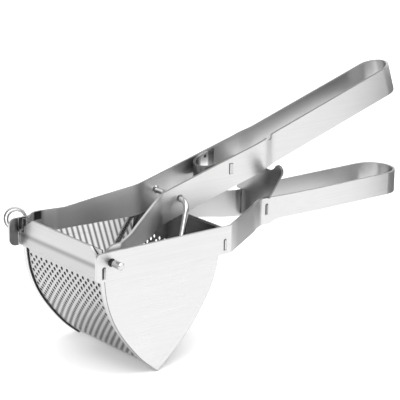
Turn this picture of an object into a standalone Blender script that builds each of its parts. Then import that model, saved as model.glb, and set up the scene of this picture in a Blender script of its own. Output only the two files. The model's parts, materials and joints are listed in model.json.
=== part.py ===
"""Potato ricer in stainless steel: a V-hopper in a two-arm frame, with a hinged lever and press plate.

Every number is in millimetres until place() turns it into metres. X runs from the hopper's front
to the end of the handle, Y across the tool and Z up. The rest pose is the closed one.
"""

import math

import bmesh
import bpy
import numpy as np

# Frame: one strip on edge, bent into two arms and a handle loop.
FRAME_HALF_WIDTH = 49.0
BAND = 1.8
WALL_HEIGHT = 18.8
HANDLE_DEPTH = 15.8
NECK_START = 109.8
NECK_END = 164.0
NECK_HALF = 14.3
HANDLE_HALF = 17.0
HANDLE_CENTRE = 279.3
# Front ends of the frame's arms: how far each one reaches past X = 0, and its corner radius.
NEAR_END = (0.0, 3.0)
FAR_END = (-2.4, 5.0)
# Lever: a second strip, which rises towards the handle.
LEVER_SLOPE = 0.26
LEVER_BASE = -1.65
LEVER_KINK = 159.0
LEVER_NARROWING = (163.0, 177.0)
HANDLE_SLOPE = 0.31
HANDLE_BASE = -9.6
LEVER_DEPTH = 21.2
LEVER_HALF = 14.25
LEVER_HANDLE_HALF = 12.3
LEVER_FOLD = 77.9
LEVER_HANDLE_CENTRE = 275.2
EAR_OUTER = 45.5
EAR_END = 21.3
EAR_RADIUS = 4.9
# (x, top, bottom) along each ear, which stands a little above the frame.
EAR_PROFILE = ((10.0, -1.6, -11.5), (11.7, 1.0, -11.8), (14.0, 2.6, -11.9), (16.0, 3.1, -12.0),
               (19.8, 3.2, -12.0))
NOTCH_X = 170.2
NOTCH_RADIUS = 2.6
# Hinge pin and its ring.
PIN = (11.7, -6.9)
PIN_RADIUS = 2.5
PIN_NEAR_END = -60.0
PIN_FAR_END = 54.0
PIN_CHAMFER = 0.8
PIN_GROOVE = (-52.2, -49.5)
PIN_GROOVE_DEPTH = 0.6
RING_HOLE_Y = 51.2
RING_RADIUS = 6.8
RING_WIRE = 1.2
RING_HOLE_RADIUS = 1.75
RING_SHIFT = 0.2
RING_TO_CENTRE = (-0.546, 0.636, 0.551)
RING_NORMAL = (-0.595, -0.752, 0.284)
# Hopper: two arched side plates and two curved sheets that meet in a ridge.
HOPPER_INNER = 45.9
SIDE_PLATE = 1.0
SHEET = 0.8
SHEET_HALF = 45.6
SEAM_WIDTH = 4.6
SEAM_GAP = 0.3
RIDGE = (49.8, -88.0)
FRONT_TOP = 0.6
REAR_TOP = -0.6
# Room for the lever's ears beside the front sheet: its half width there, and how far down it goes.
EAR_ROOM_HALF = 43.3
EAR_ROOM_FLOOR = -13.5
# Press bail: a round wire through the lever, down to the press plate.
WIRE = 1.9
WIRE_BEND = 9.0
FOOT_BEND = 3.6
BAIL_TOP = (92.4, 12.9)
BAIL_HALF = 22.7
BAIL_HOLE_RADIUS = 2.7
LEG_LEAN = 0.429
LEG_SPREAD = 0.266
BAIL_FOOT_Z = -47.5
PLATE_TOP = -48.0
PLATE_GAP = 2.8
PLATE_SHEET = 1.2
PLATE_HALF = 43.2
LUG_Y = 41.0
LUG_SHEET = 1.2
LUG_FOOT_Z = -58.0
# Clearances between pieces that touch in the real tool.
GAP = 0.3
# Cross plates of the frame: each one's span in X, and the span in Z of the tab at each of its ends.
TIE_X = (5.3, 6.8)
REAR_X = (102.6, 104.2)
STOP_X = (167.2, 169.0)
TIE_TAB = (-16.6, -9.6)
REAR_TAB = (-16.0, -9.0)
STOP_TAB = (-11.6, -4.6)
TAB_PROUD = 0.5
SLOT_SHOULDER = 0.9
TIE_FRONT_GAP = 1.0
TIE_CREASE = -9.0
TIE_LEAN = 0.11
TIE_BOTTOM = -18.3
EAR_CENTRE = (26.2, 21.9)
STOP_EAR_RADIUS = 4.3
# Bridge of the lever: a U-shaped strip with a tab through each arm.
BRIDGE_TAB = ((134.6, 22.8), (137.4, 29.8))
BRIDGE_FRONT = 129.8
BRIDGE_BACK = 141.0
BRIDGE_DEPTH = 12.0
BRIDGE_SHEET = 1.5
BRIDGE_HOLE = (133.2, 30.0)
BRIDGE_HOLE_RADIUS = 0.9
# Half the length of a cutter that goes through both arms.
THROUGH = 80.0
# The middle of the frame's handle, where a hand holds the tool. It becomes the origin.
GRIP = (245.0, 0.0, -7.9)

# The outer faces of the two sheets in (x, z), from above the mouth down to the ridge.
FRONT_CURVE = [(8.2, 2.0), (8.0, -8.0), (8.5, -18.0), (10.7, -34.0), (15.7, -48.0), (22.3, -59.2),
               (31.0, -70.4), (39.6, -79.6), RIDGE]
REAR_CURVE = [(100.5, 2.0), (99.8, -11.0), (98.4, -22.0), (95.9, -31.0), (91.8, -41.0),
              (84.8, -52.0), (76.2, -63.4), (66.0, -74.0), (57.4, -81.8), RIDGE]


def start():
    """An empty scene with one collection for the tool and one for its cutters."""
    for obj in list(bpy.data.objects):
        bpy.data.objects.remove(obj, do_unlink=True)
    collections = []
    for name in ("potato_ricer", "cutters"):
        collection = bpy.data.collections.new(name)
        bpy.context.scene.collection.children.link(collection)
        collections.append(collection)
    return collections


TOOL, CUTTERS = start()


def place(points):
    """Millimetres to metres, about the hand's grip."""
    return (np.asarray(points, float) - np.array(GRIP)) / 1000


def new_object(name, points, faces, cutter=False):
    mesh = bpy.data.meshes.new(name)
    mesh.from_pydata(place(points).tolist(), [], [list(face) for face in faces])
    bm = bmesh.new()
    bm.from_mesh(mesh)
    bmesh.ops.recalc_face_normals(bm, faces=bm.faces)
    bm.to_mesh(mesh)
    bm.free()
    obj = bpy.data.objects.new(name, mesh)
    (CUTTERS if cutter else TOOL).objects.link(obj)
    if cutter:
        obj.hide_render = True
        obj.display_type = "WIRE"
    return obj


def cut(obj, cutter, operation="DIFFERENCE"):
    modifier = obj.modifiers.new(operation.title() + " " + cutter.name, "BOOLEAN")
    modifier.operation = operation
    modifier.solver = "EXACT"
    modifier.object = cutter


def strip(name, rows, thickness):
    """A strip on edge along rows of (x, y, top, bottom), thickened evenly about its own line."""
    path = np.array([row[:2] for row in rows], float)
    ahead = np.diff(path, axis=0)
    ahead /= np.linalg.norm(ahead, axis=1)[:, None]
    side = np.stack([-ahead[:, 1], ahead[:, 0]], axis=1)
    points = []
    for i, (x, y, top, bottom) in enumerate(rows):
        before = side[max(i - 1, 0)]
        after = side[min(i, len(side) - 1)]
        miter = before + after
        miter *= thickness / (miter @ after)
        for z, sign in ((top, 1), (top, -1), (bottom, -1), (bottom, 1)):
            at = path[i] + sign * miter / 2
            points.append((at[0], at[1], z))
    faces = []
    for i in range(len(rows) - 1):
        for j in range(4):
            k = (j + 1) % 4
            faces.append((4 * i + j, 4 * i + k, 4 * i + 4 + k, 4 * i + 4 + j))
    last = 4 * (len(rows) - 1)
    faces += [(3, 2, 1, 0), (last, last + 1, last + 2, last + 3)]
    return new_object(name, points, faces)


def slab(name, outline, low, high, axis="Y", cutter=False):
    """A flat plate: an outline pushed along one axis from low to high."""
    def at(a, b, c):
        return {"Y": (a, c, b), "X": (c, a, b), "Z": (a, b, c)}[axis]
    count = len(outline)
    points = [at(a, b, level) for level in (low, high) for a, b in outline]
    faces = [tuple(range(count)), tuple(range(2 * count - 1, count - 1, -1))]
    faces += [(i, (i + 1) % count, count + (i + 1) % count, count + i) for i in range(count)]
    return new_object(name, points, faces, cutter)


def box(name, low, high):
    outline = [(low[0], low[1]), (high[0], low[1]), (high[0], high[1]), (low[0], high[1])]
    return slab(name, outline, low[2], high[2], "Z", cutter=True)


def rod(name, start_at, end_at, radius, sides=24, stations=None, cutter=False):
    """A round bar between two points. Stations, if given, are (distance from the start, radius)."""
    start_at = np.array(start_at, float)
    end_at = np.array(end_at, float)
    length = np.linalg.norm(end_at - start_at)
    along = (end_at - start_at) / length
    across = np.cross(along, (0.3, 0.2, 0.9))
    across /= np.linalg.norm(across)
    up = np.cross(along, across)
    stations = stations or [(0.0, radius), (length, radius)]
    rings = []
    for distance, r in stations:
        for i in range(sides):
            turn = 2 * math.pi * i / sides
            spoke = math.cos(turn) * across + math.sin(turn) * up
            rings.append(start_at + distance * along + r * spoke)
    return new_object(name, rings, tube_faces(len(stations), sides), cutter)


def tube_faces(count, sides):
    faces = []
    for i in range(count - 1):
        for j in range(sides):
            k = (j + 1) % sides
            faces.append((i * sides + j, i * sides + k, (i + 1) * sides + k, (i + 1) * sides + j))
    last = (count - 1) * sides
    faces += [tuple(range(sides))[::-1], tuple(range(last, last + sides))]
    return faces


def rounded_path(corners, radii, steps=6):
    """The corner points of a bent wire, each inner corner swapped for an arc of its radius."""
    corners = [np.array(corner, float) for corner in corners]
    path = [corners[0]]
    for before, corner, after, radius in zip(corners, corners[1:], corners[2:], radii):
        a = (before - corner) / np.linalg.norm(before - corner)
        b = (after - corner) / np.linalg.norm(after - corner)
        half = math.acos(np.clip(a @ b, -1, 1)) / 2
        reach = radius / math.tan(half)
        centre = corner + (a + b) / np.linalg.norm(a + b) * radius / math.sin(half)
        first = corner + a * reach - centre
        last = corner + b * reach - centre
        sweep = math.pi - 2 * half
        for i in range(steps + 1):
            t = i / steps
            path.append(centre + (math.sin((1 - t) * sweep) * first + math.sin(t * sweep) * last)
                        / math.sin(sweep))
    return path + [corners[-1]]


def wire(name, path, radius, sides=16):
    """A round wire along a path, carried without twist."""
    path = np.array(path)
    ahead = np.gradient(path, axis=0)
    ahead /= np.linalg.norm(ahead, axis=1)[:, None]
    across = np.cross(ahead[0], (0.31, 0.17, 0.94))
    rings = []
    for centre, along in zip(path, ahead):
        across = across - (across @ along) * along
        across /= np.linalg.norm(across)
        up = np.cross(along, across)
        for i in range(sides):
            turn = 2 * math.pi * i / sides
            rings.append(centre + radius * (math.cos(turn) * across + math.sin(turn) * up))
    return new_object(name, rings, tube_faces(len(path), sides))


def smooth_curve(points, per_span=3):
    """A Catmull-Rom curve through the points."""
    points = [np.array(point, float) for point in points]
    ends = [2 * points[0] - points[1]] + points + [2 * points[-1] - points[-2]]
    curve = []
    for i in range(1, len(ends) - 2):
        p, q, r, s = ends[i - 1:i + 3]
        for j in range(per_span):
            t = j / per_span
            curve.append(0.5 * (2 * q + (r - p) * t + (2 * p - 5 * q + 4 * r - s) * t ** 2
                                + (3 * q - p - 3 * r + s) * t ** 3))
    return curve + [points[-1]]


def offset(curve, distance):
    """The curve moved sideways, to its left for a positive distance."""
    curve = np.array(curve)
    ahead = np.gradient(curve, axis=0)
    ahead /= np.linalg.norm(ahead, axis=1)[:, None]
    return curve + distance * np.stack([-ahead[:, 1], ahead[:, 0]], axis=1)


def below(curve, top):
    """The part of a falling curve under a level, starting exactly on it."""
    curve = [tuple(point) for point in curve]
    kept = [point for point in curve if point[1] < top]
    above = [point for point in curve if point[1] >= top][-1]
    t = (above[1] - top) / (above[1] - kept[0][1])
    return [(above[0] + t * (kept[0][0] - above[0]), top)] + kept


def meet(front, rear):
    """Two falling curves cut where they cross, as one outline from front top to rear top."""
    best = None
    for i in range(len(front) - 1):
        for j in range(len(rear) - 1):
            a, b = np.array(front[i]), np.array(front[i + 1])
            c, d = np.array(rear[j]), np.array(rear[j + 1])
            matrix = np.array([b - a, c - d]).T
            if abs(np.linalg.det(matrix)) < 1e-9:
                continue
            t, u = np.linalg.solve(matrix, c - a)
            if 0 <= t <= 1 and 0 <= u <= 1:
                best = (i, j, tuple(a + t * (b - a)))
    i, j, tip = best
    return [tuple(p) for p in front[:i + 1]], tip, [tuple(p) for p in rear[:j + 1]]


def inward(distance):
    """The hopper's two outer curves moved in by a distance, cut where they meet."""
    front = offset(smooth_curve(FRONT_CURVE), distance)
    rear = offset(smooth_curve(REAR_CURVE), -distance)
    if distance == 0:
        return [tuple(p) for p in front[:-1]], RIDGE, [tuple(p) for p in rear[:-1]]
    reach = [np.array(side[-1]) + 6 * (np.array(side[-1]) - np.array(side[-2]))
             for side in (front, rear)]
    return meet(list(front) + [reach[0]], list(rear) + [reach[1]])


def loop_end(centre_x, radius, steps=14):
    """Points round the end of a handle, from the near arm to the far one."""
    return [(centre_x + radius * math.sin(math.pi * i / steps),
             -radius * math.cos(math.pi * i / steps)) for i in range(steps + 1)]


def mirrored(rows):
    """The rows of one arm, turned into those of the other arm in the opposite order."""
    return [(x, -y, *rest) for x, y, *rest in reversed(rows)]


def arm_end(reach, radius, steps=4):
    """Rows at the rounded front end of a near arm, which starts at X = reach."""
    half = FRAME_HALF_WIDTH - BAND / 2
    rows = []
    for i in range(steps + 1):
        turn = math.radians(8 + 82 * i / steps)
        drop = radius * (1 - math.sin(turn))
        rows.append((reach + radius * (1 - math.cos(turn)), -half, -drop, drop - WALL_HEIGHT))
    return rows


def slot(name, xs, zs, ahead=GAP, arms=(-THROUGH, THROUGH)):
    """A cutter through the arms for a tab, with a pointed top and room ahead of the tab."""
    front, back = xs[0] - ahead, xs[1] + GAP
    top = zs[1] + GAP
    outline = [(front, zs[0] - GAP), (back, zs[0] - GAP), (back, top),
               ((front + back) / 2, top + SLOT_SHOULDER / 2), (front, top - SLOT_SHOULDER / 2)]
    return slab(name, outline, *arms, cutter=True)


def pin_hole(name):
    return rod(name, (PIN[0], -THROUGH, PIN[1]), (PIN[0], THROUGH, PIN[1]), PIN_RADIUS + GAP, cutter=True)


def build_frame():
    half = FRAME_HALF_WIDTH - BAND / 2
    line = BAND / 2
    arm = [(NECK_START - 3.0, -half), (NECK_START, -half + 0.9), (NECK_START + 2.6, -half + 2.6),
           (149.3, -23.1 + line), (155.0, -18.6 + line), (160.5, -15.4 + line),
           (NECK_END, -NECK_HALF + line), (171.0, -NECK_HALF - 0.1 + line)]
    rows = [(x, y, 0.0, -WALL_HEIGHT) for x, y in arm]
    rows += [(175.0, -NECK_HALF - 0.5 + line, 0.0, -HANDLE_DEPTH - 1.0),
             (179.0, -NECK_HALF - 1.0 + line, 0.0, -HANDLE_DEPTH),
             (192.0, -16.2 + line, 0.0, -HANDLE_DEPTH),
             (214.0, -HANDLE_HALF + line, 0.0, -HANDLE_DEPTH)]
    loop = [(x, y, 0.0, -HANDLE_DEPTH) for x, y in loop_end(HANDLE_CENTRE, HANDLE_HALF - line)]
    obj = strip("frame_band", arm_end(*NEAR_END) + rows + loop + mirrored(arm_end(*FAR_END) + rows), BAND)
    cut(obj, slot("frame_tie_slot_near", TIE_X, TIE_TAB, TIE_FRONT_GAP, (-THROUGH, 0.0)))
    cut(obj, slot("frame_tie_slot_far", TIE_X, TIE_TAB, GAP, (0.0, THROUGH)))
    cut(obj, slot("frame_rear_slot", REAR_X, REAR_TAB))
    cut(obj, slot("frame_stop_slot", STOP_X, STOP_TAB))
    cut(obj, pin_hole("frame_pin_hole"))
    return obj


def tabbed(name, outline_half, tab, reach, xs):
    """A cross plate from half its outline in (y, z), bottom to top, with a tab at each end."""
    inner = outline_half[0][0]
    half = [outline_half[0], (inner, tab[0]), (reach, tab[0]), (reach, tab[1]), (inner, tab[1])]
    half += outline_half[1:]
    outline = half + [(-y, z) for y, z in reversed(half)]
    return slab(name, outline, xs[0], xs[1], "X")


def build_front_tie():
    """The front cross plate, with a lip that leans back over the hopper's mouth."""
    inner = FRAME_HALF_WIDTH - BAND - GAP
    reach = FRAME_HALF_WIDTH + TAB_PROUD
    half = [(inner, TIE_BOTTOM), (inner, TIE_TAB[0]), (reach, TIE_TAB[0]), (reach, TIE_TAB[1]),
            (42.0, TIE_TAB[1]), (42.0, TIE_CREASE), (41.5, -4.6), (33.0, 1.0)]
    outline = half + [(-y, z) for y, z in reversed(half)]
    obj = slab("front_tie", outline, TIE_X[0], TIE_X[1], "X")
    bm = bmesh.new()
    bm.from_mesh(obj.data)
    crease = place((0, 0, TIE_CREASE))[2]
    for vert in bm.verts:
        rise = max(0.0, vert.co.z - crease)
        vert.co.x += TIE_LEAN * rise
    bm.to_mesh(obj.data)
    bm.free()
    return obj


def build_cross_plates():
    inner = FRAME_HALF_WIDTH - BAND - GAP
    reach = FRAME_HALF_WIDTH + TAB_PROUD
    corner = [(inner, TIE_BOTTOM), (inner, -3.0), (inner - 2.0, -1.0)]
    tabbed("rear_tie", corner, REAR_TAB, reach, REAR_X)
    arm = NECK_HALF - BAND - GAP
    reach = NECK_HALF + TAB_PROUD + 0.2
    half = [(arm - 1.0, TIE_BOTTOM), (arm, TIE_BOTTOM + 1.0), (arm, STOP_TAB[0]), (reach, STOP_TAB[0]),
            (reach, STOP_TAB[1]), (arm, STOP_TAB[1]), (arm, GAP), (17.3, GAP), (18.2, 2.0)]
    for i in range(10):
        turn = math.radians(-35 + 190 * i / 9)
        half.append((EAR_CENTRE[0] + STOP_EAR_RADIUS * math.cos(turn),
                     EAR_CENTRE[1] + STOP_EAR_RADIUS * math.sin(turn)))
    half += [(20.4, 22.0), (17.0, 20.9)]
    slab("stop_plate", half + [(-y, z) for y, z in reversed(half)], STOP_X[0], STOP_X[1], "X")


def side_outline(grow, top_front, top_rear):
    front, tip, rear = inward(-grow)
    return below(front, top_front) + [tip] + below(rear, top_rear)[::-1]


def build_hopper():
    """Two side plates with rims folded over the edges of the two curved sheets."""
    front, tip, rear = inward(0)
    front_in, tip_in, rear_in = inward(SHEET)
    split = SEAM_GAP / 2
    outline = below(front, FRONT_TOP) + [(tip[0] - split, tip[1] + split), (tip_in[0] - split, tip_in[1])]
    sheet = slab("hopper_front_sheet", outline + below(front_in, FRONT_TOP)[::-1], -SHEET_HALF, SHEET_HALF)
    for name, sign in (("near", -1), ("far", 1)):
        low, high = sorted((sign * EAR_ROOM_HALF, sign * THROUGH))
        cut(sheet, box("ear_room_" + name, (-5.0, low, EAR_ROOM_FLOOR), (20.0, high, 5.0)))
    outline = below(rear, REAR_TOP) + [(tip[0] + split, tip[1] + split), (tip_in[0] + split, tip_in[1])]
    slab("hopper_rear_sheet", outline + below(rear_in, REAR_TOP)[::-1], -SHEET_HALF, SHEET_HALF)
    outer = side_outline(SEAM_GAP + SHEET, REAR_TOP, REAR_TOP)
    groove = side_outline(SEAM_GAP, REAR_TOP, REAR_TOP)
    core = [(groove[0][0], 3.0)] + groove + [(groove[-1][0], 3.0)]
    for name, sign in (("hopper_side_near", -1), ("hopper_side_far", 1)):
        edge = HOPPER_INNER + SIDE_PLATE
        low, high = sorted((sign * edge, sign * (edge - SEAM_WIDTH)))
        plate = slab(name, outer, low, high)
        inner_low, inner_high = sorted((sign * HOPPER_INNER, sign * (edge - 2 * SEAM_WIDTH)))
        cut(plate, slab(name + "_core", core, inner_low, inner_high, cutter=True))
        cut(plate, box(name + "_lip", (-5.0, inner_low, EAR_ROOM_FLOOR), (20.0, inner_high, 3.0)))
        cut(plate, pin_hole(name + "_pin_hole"))


def lever_top(x):
    return LEVER_SLOPE * x + LEVER_BASE if x < LEVER_KINK else HANDLE_SLOPE * x + HANDLE_BASE


def square_end(obj):
    """Leans the loop at the lever's end, so that it stands square to the sloping handle."""
    lean = HANDLE_SLOPE / math.hypot(1, HANDLE_SLOPE)
    start_x = place((LEVER_HANDLE_CENTRE - 1.0, 0, 0))[0]
    for vert in obj.data.vertices:
        if vert.co.x > start_x:
            top = (HANDLE_SLOPE * (vert.co.x * 1000 + GRIP[0]) + HANDLE_BASE - GRIP[2]) / 1000
            drop = top - vert.co.z
            if drop > 0.001:
                vert.co.x += lean * drop
                vert.co.z += HANDLE_SLOPE * lean * drop


def build_lever():
    half = BAND / 2
    rows = []
    for turn in (12, 32, 51):
        across, rise = EAR_RADIUS * math.cos(math.radians(turn)), EAR_RADIUS * math.sin(math.radians(turn))
        rows.append((PIN[0] - across, -EAR_OUTER + half, PIN[1] + rise, PIN[1] - rise))
    rows += [(x, -EAR_OUTER + half, top, bottom) for x, top, bottom in EAR_PROFILE]
    rows.append((EAR_END + 1.5, -EAR_OUTER + half + 0.8, 3.2, -11.8))
    for x, y in ((35.0, 37.9), (50.0, 29.65), (65.0, 21.4), (74.5, 16.25)):
        part = (x - EAR_END) / (LEVER_FOLD - EAR_END)
        rows.append((x, -y + half, 20.2 * part - 1.6 * part ** 2, -12.0 + 9.3 * part))
    for x, y in ((78.5, 14.7), (84.0, LEVER_HALF)):
        rows.append((x, -y + half, lever_top(x), lever_top(x) - LEVER_DEPTH))
    kink = lever_top(LEVER_KINK)
    rows.append((LEVER_KINK, -LEVER_HALF + half, kink, kink - LEVER_DEPTH))
    for i in range(7):
        part = i / 6
        x = LEVER_NARROWING[0] + part * (LEVER_NARROWING[1] - LEVER_NARROWING[0])
        y = LEVER_HALF + (LEVER_HANDLE_HALF - LEVER_HALF) * part * part * (3 - 2 * part)
        rows.append((x, -y + half, lever_top(x), lever_top(x) - LEVER_DEPTH))
    turns = loop_end(LEVER_HANDLE_CENTRE, LEVER_HANDLE_HALF - half)
    loop = [(x, y, lever_top(x), lever_top(x) - LEVER_DEPTH) for x, y in turns]
    obj = strip("lever_band", rows + loop + mirrored(rows), BAND)
    square_end(obj)
    cut(obj, pin_hole("lever_pin_hole"))
    cut(obj, rod("lever_bail_hole", (BAIL_TOP[0], -THROUGH, BAIL_TOP[1]),
                 (BAIL_TOP[0], THROUGH, BAIL_TOP[1]), BAIL_HOLE_RADIUS, cutter=True))
    cut(obj, rod("lever_notch", (NOTCH_X, -20, lever_top(NOTCH_X)), (NOTCH_X, 0, lever_top(NOTCH_X)),
                 NOTCH_RADIUS, cutter=True))
    low, high = BRIDGE_TAB
    cut(obj, slab("lever_bridge_slot", [(low[0] - GAP, low[1] - GAP), (high[0] + GAP, low[1] - GAP),
                                        (high[0] + GAP, high[1] + GAP), (low[0] - GAP, high[1] + GAP)],
                  -30, 30, cutter=True))
    return obj


def build_bridge():
    """A strip bent into a U between the lever's arms, with a tab through each arm."""
    outer = LEVER_HALF - BAND - GAP
    radius = outer - BRIDGE_SHEET / 2
    rows = [(BRIDGE_BACK, -radius)]
    rows += [(BRIDGE_FRONT - radius * math.sin(math.pi * i / 12), -radius * math.cos(math.pi * i / 12))
             for i in range(13)]
    rows += [(BRIDGE_BACK, radius)]
    rows = [(x, y, lever_top(x) - 0.6, lever_top(x) - BRIDGE_DEPTH) for x, y in rows]
    obj = strip("lever_bridge", rows, BRIDGE_SHEET)
    low, high = BRIDGE_TAB
    outline = [low, (high[0], low[1]), high, (low[0], high[1])]
    for name, sign in (("near", -1), ("far", 1)):
        near, far = sorted((sign * (radius - 0.2), sign * (LEVER_HALF + TAB_PROUD)))
        cut(obj, slab("bridge_tab_" + name, outline, near, far, cutter=True), "UNION")
    cut(obj, rod("bridge_hole", (BRIDGE_HOLE[0], LEVER_HALF, BRIDGE_HOLE[1]),
                 (BRIDGE_HOLE[0], 0.0, BRIDGE_HOLE[1]), BRIDGE_HOLE_RADIUS, 16, cutter=True))
    return obj


def leg_at(z, sign):
    drop = BAIL_TOP[1] - z
    return (BAIL_TOP[0] - LEG_LEAN * drop, sign * (BAIL_HALF + LEG_SPREAD * drop), z)


def build_bail():
    """One wire: foot, leg, crossbar through the lever, leg, foot."""
    corners = []
    for sign in (-1, 1):
        foot = leg_at(BAIL_FOOT_Z, sign)
        end = (foot[0], sign * (LUG_Y + LUG_SHEET + 0.8), foot[2])
        crossing = (BAIL_TOP[0], sign * BAIL_HALF, BAIL_TOP[1])
        part = [end, foot, crossing]
        corners += part if sign < 0 else part[::-1]
    return wire("press_bail", rounded_path(corners, (FOOT_BEND, WIRE_BEND, WIRE_BEND, FOOT_BEND)), WIRE)


def build_press():
    """The V-shaped press plate and the two lugs inside its ends, where the bail's feet go."""
    front, tip, rear = inward(SHEET + PLATE_GAP)
    front_in, tip_in, rear_in = inward(SHEET + PLATE_GAP + PLATE_SHEET)
    outline = below(front, PLATE_TOP) + [tip] + below(rear, PLATE_TOP)[::-1]
    outline += below(rear_in, PLATE_TOP) + [tip_in] + below(front_in, PLATE_TOP)[::-1]
    slab("press_plate", outline, -PLATE_HALF, PLATE_HALF)
    front, tip, rear = inward(SHEET + PLATE_GAP + PLATE_SHEET + GAP)
    foot = leg_at(BAIL_FOOT_Z, 1)
    web = below(front, LUG_FOOT_Z) + [tip] + below(rear, LUG_FOOT_Z)[::-1]
    web += [(foot[0] + 8.0, -52.0), (foot[0] + 4.5, foot[2] + 2.6), (foot[0] + 2.2, foot[2] + 4.6),
            (foot[0] - 2.2, foot[2] + 4.6), (foot[0] - 4.5, foot[2] + 2.6), (foot[0] - 8.0, -52.0)]
    for name, sign in (("press_lug_near", -1), ("press_lug_far", 1)):
        low, high = sorted((sign * LUG_Y, sign * (LUG_Y + LUG_SHEET)))
        lug = slab(name, web, low, high)
        cut(lug, rod(name + "_hole", (foot[0], low - 5, foot[2]), (foot[0], high + 5, foot[2]),
                     WIRE + GAP, cutter=True))


def build_pin():
    """The hinge pin, grooved beside the near arm, and the ring through its far end."""
    narrow = PIN_RADIUS - PIN_GROOVE_DEPTH
    tip = PIN_RADIUS - PIN_CHAMFER
    stations = [(PIN_NEAR_END, tip), (PIN_NEAR_END + PIN_CHAMFER, PIN_RADIUS),
                (PIN_GROOVE[0] - 0.2, PIN_RADIUS), (PIN_GROOVE[0], narrow),
                (PIN_GROOVE[1], narrow), (PIN_GROOVE[1] + 0.2, PIN_RADIUS),
                (PIN_FAR_END - PIN_CHAMFER, PIN_RADIUS), (PIN_FAR_END, tip)]
    pin = rod("hinge_pin", (PIN[0], PIN_NEAR_END, PIN[1]), (PIN[0], PIN_FAR_END, PIN[1]), PIN_RADIUS,
              sides=32, stations=[(y - PIN_NEAR_END, r) for y, r in stations])
    hole = np.array((PIN[0], RING_HOLE_Y, PIN[1]))
    normal = np.array(RING_NORMAL)
    out = np.array(RING_TO_CENTRE)
    normal /= np.linalg.norm(normal)
    out -= (out @ normal) * normal
    out /= np.linalg.norm(out)
    along = np.cross(normal, out)
    cut(pin, rod("pin_ring_hole", hole - 6 * along, hole + 6 * along, RING_HOLE_RADIUS, cutter=True))
    centre = hole + (RING_RADIUS - RING_SHIFT) * out
    count, sides = 48, 12
    points = []
    for i in range(count):
        turn = 2 * math.pi * i / count
        outward = math.cos(turn) * out + math.sin(turn) * along
        for j in range(sides):
            roll = 2 * math.pi * j / sides
            points.append(centre + (RING_RADIUS + RING_WIRE * math.cos(roll)) * outward
                          + RING_WIRE * math.sin(roll) * normal)
    faces = [(i * sides + j, i * sides + (j + 1) % sides, (i + 1) % count * sides + (j + 1) % sides,
              (i + 1) % count * sides + j) for i in range(count) for j in range(sides)]
    new_object("pull_ring", points, faces)


def shade_and_colour():
    """Its own steel for every piece, and smooth shading where a piece is round."""
    tones = {"hinge_pin": 0.62, "pull_ring": 0.66, "press_bail": 0.6, "press_plate": 0.5}
    for obj in TOOL.objects:
        material = bpy.data.materials.new(obj.name + "_steel")
        material.use_nodes = True
        surface = material.node_tree.nodes["Principled BSDF"]
        tone = tones.get(obj.name, 0.55)
        surface.inputs["Base Color"].default_value = (tone, tone, tone * 0.98, 1.0)
        surface.inputs["Metallic"].default_value = 1.0
        surface.inputs["Roughness"].default_value = 0.32
        obj.data.materials.append(material)
        if obj.name in ("hinge_pin", "pull_ring", "press_bail"):
            obj.data.polygons.foreach_set("use_smooth", [len(p.vertices) == 4 for p in obj.data.polygons])


build_frame()
build_front_tie()
build_cross_plates()
build_hopper()
build_lever()
build_bridge()
build_bail()
build_press()
build_pin()
shade_and_colour()
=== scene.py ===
# %% [markdown]
# # A potato ricer in brushed steel
#
# A ricer presses boiled potato through a perforated hopper. This one is two strips of stainless steel
# bent on edge, a V-shaped hopper of punched sheet, and a press that hangs from the lever on a bent
# wire. A loose pin with a split ring is the hinge.
#
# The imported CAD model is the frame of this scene. Every piece made here takes the place of one CAD
# node and moves with that node's body, so the finished look can't drift away from the mechanism.

# %% Load the frame
import json
import math

import bmesh
import bpy
import numpy as np
from mathutils import Matrix, Vector


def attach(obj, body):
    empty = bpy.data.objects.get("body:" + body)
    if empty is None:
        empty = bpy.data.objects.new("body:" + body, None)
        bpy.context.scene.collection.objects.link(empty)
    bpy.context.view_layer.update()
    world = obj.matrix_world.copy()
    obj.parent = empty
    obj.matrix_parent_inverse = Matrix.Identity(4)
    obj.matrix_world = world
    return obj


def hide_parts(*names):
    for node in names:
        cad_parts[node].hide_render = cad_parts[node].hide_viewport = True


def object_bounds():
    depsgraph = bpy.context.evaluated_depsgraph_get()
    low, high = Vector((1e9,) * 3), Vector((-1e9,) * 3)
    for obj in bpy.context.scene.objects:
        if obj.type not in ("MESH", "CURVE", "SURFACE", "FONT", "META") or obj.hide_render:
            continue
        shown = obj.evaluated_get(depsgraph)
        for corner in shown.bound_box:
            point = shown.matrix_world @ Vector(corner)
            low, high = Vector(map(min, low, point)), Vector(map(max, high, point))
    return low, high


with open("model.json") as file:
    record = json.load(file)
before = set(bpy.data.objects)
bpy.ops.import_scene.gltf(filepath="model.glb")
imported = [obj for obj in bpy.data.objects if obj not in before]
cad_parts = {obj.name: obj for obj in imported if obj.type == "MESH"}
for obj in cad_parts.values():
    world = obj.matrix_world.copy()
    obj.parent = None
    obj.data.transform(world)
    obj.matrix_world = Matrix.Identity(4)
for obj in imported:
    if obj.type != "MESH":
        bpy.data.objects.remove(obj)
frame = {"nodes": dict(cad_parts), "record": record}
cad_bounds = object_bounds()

BODY_OF = {node: body for body, nodes in frame["record"]["behaviour"]["bodies"].items() for node in nodes}
print("CAD nodes:", len(frame["nodes"]))

# %% [markdown]
# ## Places
#
# On the real tool the hopper's front end and the frame's top edge are easy to measure from. Lengths
# could be written straight in scene metres, but those start in the middle of the frame's handle and
# are hard to picture. So places are written in millimetres from the front end, and one helper turns
# them into scene metres.

# %% Measures
GRIP = np.array((245.0, 0.0, -7.9))
MM_PER_M = 1000


def metres(points):
    """Points in millimetres from the hopper's front end, as scene metres from the grip."""
    return (np.asarray(points, float) - GRIP) / MM_PER_M


def only(*objects):
    """Deselects everything, then selects these and makes the first one active."""
    bpy.ops.object.select_all(action="DESELECT")
    for obj in objects:
        obj.select_set(True)
    bpy.context.view_layer.objects.active = objects[0]


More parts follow.
